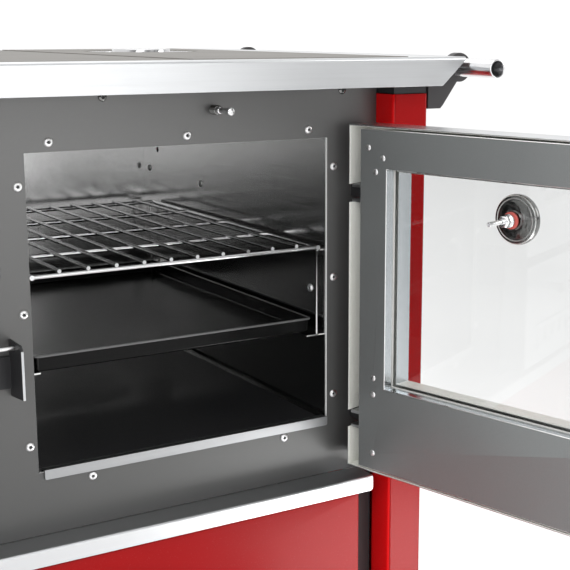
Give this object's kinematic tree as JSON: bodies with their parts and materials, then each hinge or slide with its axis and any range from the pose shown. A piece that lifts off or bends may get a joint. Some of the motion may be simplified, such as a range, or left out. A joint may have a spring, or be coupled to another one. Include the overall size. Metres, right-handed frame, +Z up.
{
  "type": "wood cookstove",
  "caption": "Free-standing wood cookstove with an oven behind a hinged glass door, a firebox with its own door, ash and wood drawers, a steel cooktop and side rails.",
  "frame": {"origin": "on the floor under the middle of the cabinet", "axes": "+Z up, the front with the doors faces -Y, +X to the viewer's right as seen from the front"},
  "size_m": [0.9997, 1.0591, 0.8535],
  "materials": {
    "red_enamel": "gloss",
    "dark_panel": "satin",
    "dark_door": "satin",
    "stainless": "brushed",
    "oven_steel": "brushed",
    "cooktop_steel": "brushed",
    "chrome": "polished",
    "raw_steel": "satin",
    "black_enamel": "gloss",
    "black_steel": "matt",
    "cast_iron": "rough",
    "firebrick": "rough",
    "glass": "clear",
    "seal_white": "woven",
    "red_washer": "matt",
    "needle_black": "matt"
  },
  "bodies": {
    "stove_body": {"back_panel": "dark_panel", "base_tray": "dark_panel", "cooktop_left_plate": "cooktop_steel", "cooktop_right_plate": "cooktop_steel", "damper_bushing": "chrome", "door_keepers": "black_steel", "drawer_bay_sides": "dark_panel", "firebox_casing": "raw_steel", "firebricks": "firebrick", "flue_collar": "black_steel", "front_panel": "dark_panel", "grate": "cast_iron", "hinge_lugs": "black_steel", "keeper_pins": "chrome", "ledge_trim": "stainless", "left_side_panel": "red_enamel", "oven_floor_plate": "black_enamel", "oven_liner": "oven_steel", "panel_screws": "chrome", "rail_brackets": "black_steel", "rail_tubes": "chrome", "right_side_panel": "red_enamel", "side_supports": "oven_steel", "sill_strip": "stainless", "soot_cover": "dark_panel", "top_frame": "stainless", "top_rail": "oven_steel"},
    "oven_door": {"oven_door_pan": "stainless", "oven_door_frame": "dark_door", "oven_door_glass": "glass", "oven_glass_seal": "seal_white", "oven_hinge_brackets": "black_steel", "oven_door_rivets": "chrome", "thermometer_case": "chrome", "thermometer_washer": "red_washer", "thermometer_nut": "chrome", "thermometer_stem": "chrome", "thermometer_lens": "glass"},
    "thermometer_pointer": {"thermometer_pointer": "needle_black"},
    "oven_handle": {"oven_latch_spindle": "raw_steel", "oven_handle_grip": "chrome"},
    "fire_door": {"fire_door_pan": "stainless", "fire_door_frame": "dark_door", "fire_door_glass": "glass", "fire_hinge_brackets": "black_steel"},
    "fire_handle": {"fire_latch_spindle": "raw_steel", "fire_handle_grip": "chrome"},
    "ash_drawer": {"ash_drawer_front": "stainless", "ash_pan": "raw_steel"},
    "air_slide": {"air_slider": "stainless"},
    "wood_drawer": {"wood_drawer_front": "red_enamel", "wood_drawer_box": "raw_steel", "wood_drawer_handle": "chrome"},
    "damper": {"damper_rod": "chrome", "damper_plate": "raw_steel"},
    "rack": {"oven_rack": "chrome"},
    "tray": {"oven_tray": "black_enamel"},
    "ring": {"hotplate_ring": "cooktop_steel"},
    "lid": {"hotplate_lid": "cooktop_steel"},
    "cover": {"outlet_cover": "cooktop_steel"}
  },
  "joints": [
    {"name": "oven_door_hinge", "type": "hinge", "parent": "stove_body", "child": "oven_door", "pos_m": [0.351, -0.2815, 0.59], "axis": [0, 0, 1], "range_deg": [-103.7, 10]},
    {"name": "thermometer_needle", "type": "hinge", "parent": "oven_door", "child": "thermometer_pointer", "pos_m": [0.39936, -0.47145, 0.697], "axis": [-0.9715, -0.2368, 0], "range_deg": [0, 270]},
    {"name": "oven_handle_turn", "type": "hinge", "parent": "oven_door", "child": "oven_handle", "pos_m": [0.44597, -0.67109, 0.5735], "axis": [0.9715, 0.2368, 0], "range_deg": [-90, 0]},
    {"name": "fire_door_hinge", "type": "hinge", "parent": "stove_body", "child": "fire_door", "pos_m": [-0.351, -0.2815, 0.6715], "axis": [0, 0, -1], "range_deg": [0, 110]},
    {"name": "fire_handle_turn", "type": "hinge", "parent": "fire_door", "child": "fire_handle", "pos_m": [-0.124, -0.2815, 0.671], "axis": [0, 1, 0], "range_deg": [-90, 0]},
    {"name": "ash_drawer_slide", "type": "slide", "parent": "stove_body", "child": "ash_drawer", "axis": [0, -1, 0], "range_m": [0, 0.35]},
    {"name": "air_slide_slide", "type": "slide", "parent": "ash_drawer", "child": "air_slide", "axis": [-1, 0, 0], "range_m": [0, 0.015]},
    {"name": "wood_drawer_slide", "type": "slide", "parent": "stove_body", "child": "wood_drawer", "axis": [0, -1, 0], "range_m": [0, 0.38]},
    {"name": "damper_pull", "type": "slide", "parent": "stove_body", "child": "damper", "axis": [0, -1, 0], "range_m": [0, 0.06]},
    {"name": "rack_slide", "type": "slide", "parent": "stove_body", "child": "rack", "axis": [0, -1, 0], "range_m": [0, 0.3]},
    {"name": "tray_slide", "type": "slide", "parent": "stove_body", "child": "tray", "axis": [0, -1, 0], "range_m": [0, 0.3]},
    {"name": "ring_lift", "type": "slide", "parent": "stove_body", "child": "ring", "axis": [0, 0, 1], "range_m": [0, 0.08]},
    {"name": "lid_lift", "type": "slide", "parent": "ring", "child": "lid", "axis": [0, 0, 1], "range_m": [0, 0.08]},
    {"name": "cover_lift", "type": "slide", "parent": "stove_body", "child": "cover", "axis": [0, 0, 1], "range_m": [0, 0.08]}
  ]
}
